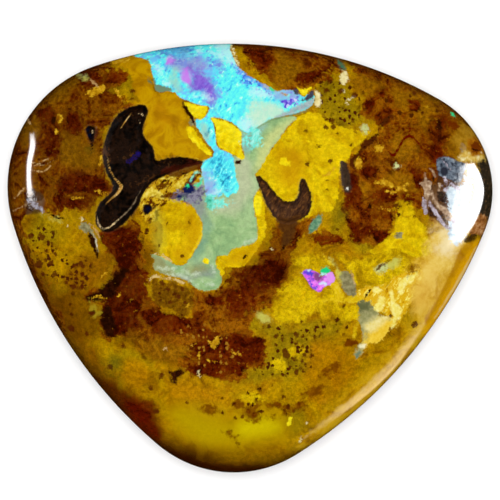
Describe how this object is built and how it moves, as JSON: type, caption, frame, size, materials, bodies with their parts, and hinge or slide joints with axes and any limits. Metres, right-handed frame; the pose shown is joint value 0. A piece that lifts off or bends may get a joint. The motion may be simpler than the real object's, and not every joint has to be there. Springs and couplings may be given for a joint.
{
  "type": "polished boulder opal cabochon",
  "caption": "Polished freeform boulder opal: a low dome with a rounded triangular outline, a flat back to rest on and small unpolished hollows in its face.",
  "frame": {"origin": "middle of the flat back, under the centre of the stone's outline", "axes": "+X along the widest way across the stone, towards its narrower upper corner; +Y towards the long upper side; +Z out of the polished face"},
  "size_m": [0.0242, 0.0214, 0.0048],
  "materials": {
    "stone": "polished"
  },
  "bodies": {
    "root": {"stone": "stone"}
  },
  "joints": []
}
